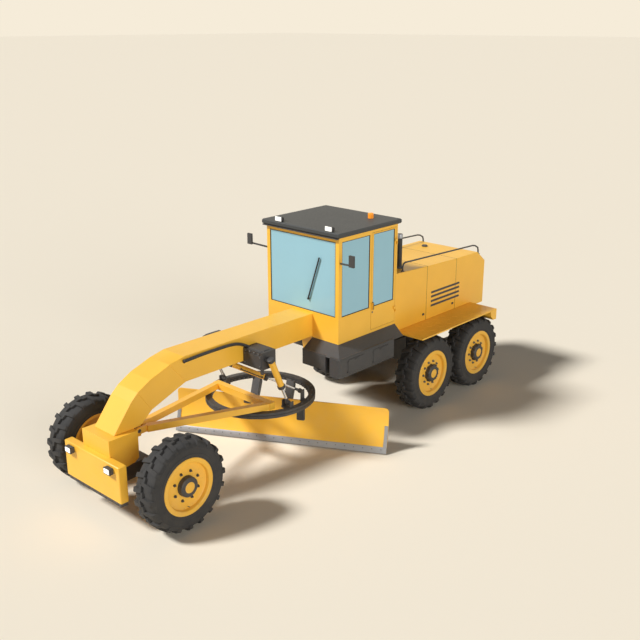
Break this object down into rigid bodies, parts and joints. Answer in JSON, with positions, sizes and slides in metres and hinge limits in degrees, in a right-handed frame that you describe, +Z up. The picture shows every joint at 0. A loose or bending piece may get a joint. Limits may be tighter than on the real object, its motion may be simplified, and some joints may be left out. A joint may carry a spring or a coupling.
{
  "type": "motor grader",
  "caption": "Motor grader with a rigid gooseneck frame, tandem drive, closed cab, a turning circle on a swinging drawbar and a curved blade held by lift and shift cylinders.",
  "frame": {"origin": "on the ground under the middle of the overall box, 0.157 m left of the centre line and 3.607 m behind the front axle", "axes": "+Z up, -Y towards the front of the machine, +X towards its left side"},
  "size_m": [3.3184, 8.7753, 3.625],
  "materials": {
    "yellow_paint": "satin paint",
    "rim_paint": "satin paint",
    "dark_paint": "matt paint",
    "tyre_rubber": "matt rubber",
    "edge_steel": "worn steel",
    "rod_chrome": "polished",
    "cab_glass": "tinted",
    "engine_iron": "painted casting"
  },
  "bodies": {
    "frame": {"gooseneck_beam": "yellow_paint", "front_bolster": "yellow_paint", "front_plate": "yellow_paint", "headlamp_left": "dark_paint", "headlamp_right": "dark_paint", "front_axle": "dark_paint", "lift_saddle": "dark_paint", "cab_shell": "yellow_paint", "cab_roof": "dark_paint", "windshield": "cab_glass", "rear_window": "cab_glass", "side_window_left": "cab_glass", "side_window_right": "cab_glass", "mirror_left": "dark_paint", "mirror_right": "dark_paint", "operator_station": "dark_paint", "rear_frame": "dark_paint", "tandem_axle": "dark_paint", "rear_deck": "yellow_paint", "hood": "yellow_paint", "engine_block": "engine_iron", "exhaust_stack": "dark_paint", "handrail_left": "dark_paint", "handrail_right": "dark_paint"},
    "knuckle_left": {"knuckle_left": "dark_paint"},
    "knuckle_right": {"knuckle_right": "dark_paint"},
    "wheel_front_left": {"tyre_front_left": "tyre_rubber", "rim_front_left": "rim_paint"},
    "wheel_front_right": {"tyre_front_right": "tyre_rubber", "rim_front_right": "rim_paint"},
    "wheel_mid_left": {"tyre_mid_left": "tyre_rubber", "rim_mid_left": "rim_paint"},
    "wheel_mid_right": {"tyre_mid_right": "tyre_rubber", "rim_mid_right": "rim_paint"},
    "wheel_rear_left": {"tyre_rear_left": "tyre_rubber", "rim_rear_left": "rim_paint"},
    "wheel_rear_right": {"tyre_rear_right": "tyre_rubber", "rim_rear_right": "rim_paint"},
    "tie_rod": {"tie_rod": "dark_paint"},
    "drawbar_swivel": {"drawbar_swivel": "dark_paint"},
    "drawbar": {"drawbar": "yellow_paint", "circle_guide": "dark_paint"},
    "circle": {"circle": "dark_paint"},
    "blade_carrier": {"blade_carrier": "dark_paint"},
    "blade": {"moldboard": "yellow_paint", "cutting_edge": "edge_steel"},
    "lift_left_yoke": {"lift_left_yoke": "dark_paint"},
    "lift_left_barrel": {"lift_left_barrel": "yellow_paint"},
    "lift_left_rod": {"lift_left_rod": "rod_chrome"},
    "lift_right_yoke": {"lift_right_yoke": "dark_paint"},
    "lift_right_barrel": {"lift_right_barrel": "yellow_paint"},
    "lift_right_rod": {"lift_right_rod": "rod_chrome"},
    "shift_yoke": {"shift_yoke": "dark_paint"},
    "shift_barrel": {"shift_barrel": "yellow_paint"},
    "shift_rod": {"shift_rod": "rod_chrome"},
    "door_left": {"door_left": "yellow_paint", "door_glass_left": "cab_glass"},
    "door_right": {"door_right": "yellow_paint", "door_glass_right": "cab_glass"}
  },
  "joints": [
    {"name": "steer_left", "type": "hinge", "parent": "frame", "child": "knuckle_left", "pos_m": [0.903, -3.607, 0.68], "axis": [0, 0, 1], "range_deg": [-35, 35]},
    {"name": "steer_right", "type": "hinge", "parent": "frame", "child": "knuckle_right", "pos_m": [-1.217, -3.607, 0.68], "axis": [0, 0, 1], "range_deg": [-35, 35]},
    {"name": "roll_front_left", "type": "hinge", "parent": "knuckle_left", "child": "wheel_front_left", "pos_m": [0.908, -3.607, 0.68], "axis": [1, 0, 0], "continuous": true},
    {"name": "roll_front_right", "type": "hinge", "parent": "knuckle_right", "child": "wheel_front_right", "pos_m": [-1.222, -3.607, 0.68], "axis": [1, 0, 0], "continuous": true},
    {"name": "roll_mid_left", "type": "hinge", "parent": "frame", "child": "wheel_mid_left", "pos_m": [0.908, 2.007, 0.68], "axis": [1, 0, 0], "continuous": true},
    {"name": "roll_mid_right", "type": "hinge", "parent": "frame", "child": "wheel_mid_right", "pos_m": [-1.222, 2.007, 0.68], "axis": [1, 0, 0], "continuous": true},
    {"name": "roll_rear_left", "type": "hinge", "parent": "frame", "child": "wheel_rear_left", "pos_m": [0.908, 3.458, 0.68], "axis": [1, 0, 0], "continuous": true},
    {"name": "roll_rear_right", "type": "hinge", "parent": "frame", "child": "wheel_rear_right", "pos_m": [-1.222, 3.458, 0.68], "axis": [1, 0, 0], "continuous": true},
    {"name": "tie_rod_pivot", "type": "hinge", "parent": "knuckle_left", "child": "tie_rod", "pos_m": [0.903, -3.407, 0.648], "axis": [0, 0, 1], "range_deg": [-35, 35]},
    {"name": "drawbar_swing", "type": "hinge", "parent": "frame", "child": "drawbar_swivel", "pos_m": [-0.157, -3.547, 1.12], "axis": [0, 0, 1], "range_deg": [-4, 4]},
    {"name": "drawbar_lift", "type": "hinge", "parent": "drawbar_swivel", "child": "drawbar", "pos_m": [-0.157, -3.547, 1.12], "axis": [1, 0, 0], "range_deg": [-2, 5.5]},
    {"name": "circle_turn", "type": "hinge", "parent": "drawbar", "child": "circle", "pos_m": [-0.157, -1.072, 0.845], "axis": [0, 0, 1], "range_deg": [-40, 12]},
    {"name": "blade_tip", "type": "hinge", "parent": "circle", "child": "blade_carrier", "pos_m": [-0.38199, -0.65935, 0.48], "axis": [0.878, 0.4787, 0], "range_deg": [-8, 12]},
    {"name": "blade_shift", "type": "slide", "parent": "blade_carrier", "child": "blade", "axis": [0.878, 0.4787, 0], "range_m": [-0.4, 0.2]},
    {"name": "lift_left_tilt", "type": "hinge", "parent": "frame", "child": "lift_left_yoke", "pos_m": [0.5257, -1.547, 1.8], "axis": [0, 1, 0], "range_deg": [-11.96, 11.96]},
    {"name": "lift_left_swing", "type": "hinge", "parent": "lift_left_yoke", "child": "lift_left_barrel", "pos_m": [0.598, -1.547, 1.8], "axis": [1, 0, 0], "range_deg": [-2.57, 7.07]},
    {"name": "lift_left_stroke", "type": "slide", "parent": "lift_left_barrel", "child": "lift_left_rod", "axis": [-0.0114, 0.4075, -0.9131], "range_m": [-0.19484, 0.07085]},
    {"name": "lift_right_tilt", "type": "hinge", "parent": "frame", "child": "lift_right_yoke", "pos_m": [-0.8397, -1.547, 1.8], "axis": [0, 1, 0], "range_deg": [-11.96, 11.96]},
    {"name": "lift_right_swing", "type": "hinge", "parent": "lift_right_yoke", "child": "lift_right_barrel", "pos_m": [-0.912, -1.547, 1.8], "axis": [1, 0, 0], "range_deg": [-2.57, 7.07]},
    {"name": "lift_right_stroke", "type": "slide", "parent": "lift_right_barrel", "child": "lift_right_rod", "axis": [0.0114, 0.4075, -0.9131], "range_m": [-0.19484, 0.07085]},
    {"name": "shift_turn", "type": "hinge", "parent": "frame", "child": "shift_yoke", "pos_m": [-0.287, -1.567, 1.52], "axis": [-0.0016, 0.1368, 0.9906], "range_deg": [-8.54, 8.54]},
    {"name": "shift_tilt", "type": "hinge", "parent": "shift_yoke", "child": "shift_barrel", "pos_m": [-0.287, -1.567, 1.52], "axis": [-0.71, 0.6974, -0.0975], "range_deg": [-12.25, 4.46]},
    {"name": "shift_stroke", "type": "slide", "parent": "shift_barrel", "child": "shift_rod", "axis": [0.6717, 0.6292, -0.3911], "range_m": [-0.09921, 0.09921]},
    {"name": "door_left_hinge", "type": "hinge", "parent": "frame", "child": "door_left", "pos_m": [0.6704, 1.395, 1.672], "axis": [0, 0, 1], "range_deg": [0, 95]},
    {"name": "door_right_hinge", "type": "hinge", "parent": "frame", "child": "door_right", "pos_m": [-0.9844, 1.395, 1.672], "axis": [0, 0, 1], "range_deg": [-95, 0]}
  ],
  "couplings": [
    {"joint": "steer_right", "follows": "steer_left", "ratio": 1},
    {"joint": "tie_rod_pivot", "follows": "steer_left", "ratio": -1},
    {"joint": "lift_left_tilt", "follows": "drawbar_swing", "ratio": 2.9892},
    {"joint": "lift_left_swing", "follows": "drawbar_lift", "ratio": 1.2863},
    {"joint": "lift_left_stroke", "follows": "drawbar_lift", "m_per_rad": -2.0298},
    {"joint": "lift_right_tilt", "follows": "drawbar_swing", "ratio": 2.9892},
    {"joint": "lift_right_swing", "follows": "drawbar_lift", "ratio": 1.2863},
    {"joint": "lift_right_stroke", "follows": "drawbar_lift", "m_per_rad": -2.0298},
    {"joint": "shift_turn", "follows": "drawbar_swing", "ratio": 2.1359},
    {"joint": "shift_tilt", "follows": "drawbar_lift", "ratio": -2.2279},
    {"joint": "shift_stroke", "follows": "drawbar_swing", "m_per_rad": -1.4211}
  ]
}
